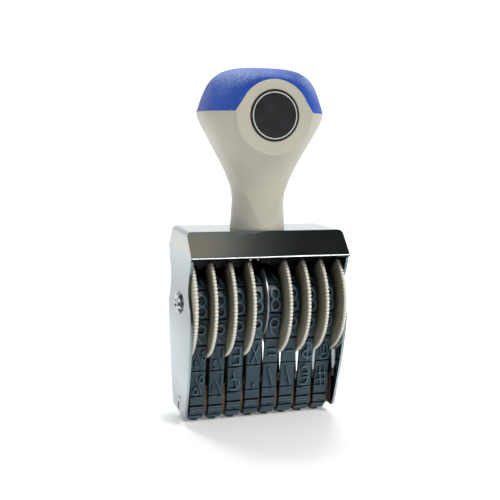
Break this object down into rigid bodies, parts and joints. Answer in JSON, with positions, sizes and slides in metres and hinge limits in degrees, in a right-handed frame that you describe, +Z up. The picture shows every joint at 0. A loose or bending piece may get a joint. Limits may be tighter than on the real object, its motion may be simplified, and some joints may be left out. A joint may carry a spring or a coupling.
{
  "type": "numbering stamp",
  "caption": "Hand numbering stamp: palm handle on a plated sheet frame, rubber type bands on toothed thumbwheels along one axle.",
  "frame": {"origin": "on the ground under the middle of the stamp, at the level of the printing faces", "axes": "+X across the bands, from the first to the last; +Z up through the handle; -Y towards the badge side"},
  "size_m": [0.0616, 0.0418, 0.1289],
  "materials": {
    "chrome_sheet": "bright chrome-plated pressed sheet steel",
    "bright_steel": "bright drawn steel with peened ends",
    "brass_bar": "dull copper-toned brass",
    "cream_handle": "satin moulded plastic, warm light grey",
    "blue_cap": "fine spark-textured plastic with a soft sheen",
    "black_badge": "gloss black disc with a thin pale ring",
    "cream_wheel": "moulded plastic, ivory, with fine thumb teeth",
    "type_rubber": "slate-coloured moulded rubber type"
  },
  "bodies": {
    "stamp": {"frame": "chrome_sheet", "axle": "bright_steel", "centre_divider": "chrome_sheet", "platen": "brass_bar", "lower_rod": "bright_steel", "handle_body": "cream_handle", "handle_cap": "blue_cap", "badge": "black_badge", "handle_screw": "bright_steel", "lock_washer": "bright_steel", "band_1": "type_rubber", "band_2": "type_rubber", "band_3": "type_rubber", "band_4": "type_rubber", "band_5": "type_rubber", "band_6": "type_rubber", "band_7": "type_rubber", "band_8": "type_rubber"},
    "wheel_1": {"wheel_1": "cream_wheel"},
    "wheel_2": {"wheel_2": "cream_wheel"},
    "wheel_3": {"wheel_3": "cream_wheel"},
    "wheel_4": {"wheel_4": "cream_wheel"},
    "wheel_5": {"wheel_5": "cream_wheel"},
    "wheel_6": {"wheel_6": "cream_wheel"},
    "wheel_7": {"wheel_7": "cream_wheel"},
    "wheel_8": {"wheel_8": "cream_wheel"}
  },
  "joints": [
    {"name": "wheel_1_turn", "type": "hinge", "parent": "stamp", "child": "wheel_1", "pos_m": [0, 0, 0.0444], "axis": [1, 0, 0], "continuous": true},
    {"name": "wheel_2_turn", "type": "hinge", "parent": "stamp", "child": "wheel_2", "pos_m": [0, 0, 0.0444], "axis": [1, 0, 0], "continuous": true},
    {"name": "wheel_3_turn", "type": "hinge", "parent": "stamp", "child": "wheel_3", "pos_m": [0, 0, 0.0444], "axis": [1, 0, 0], "continuous": true},
    {"name": "wheel_4_turn", "type": "hinge", "parent": "stamp", "child": "wheel_4", "pos_m": [0, 0, 0.0444], "axis": [1, 0, 0], "continuous": true},
    {"name": "wheel_5_turn", "type": "hinge", "parent": "stamp", "child": "wheel_5", "pos_m": [0, 0, 0.0444], "axis": [1, 0, 0], "continuous": true},
    {"name": "wheel_6_turn", "type": "hinge", "parent": "stamp", "child": "wheel_6", "pos_m": [0, 0, 0.0444], "axis": [1, 0, 0], "continuous": true},
    {"name": "wheel_7_turn", "type": "hinge", "parent": "stamp", "child": "wheel_7", "pos_m": [0, 0, 0.0444], "axis": [1, 0, 0], "continuous": true},
    {"name": "wheel_8_turn", "type": "hinge", "parent": "stamp", "child": "wheel_8", "pos_m": [0, 0, 0.0444], "axis": [1, 0, 0], "continuous": true}
  ]
}
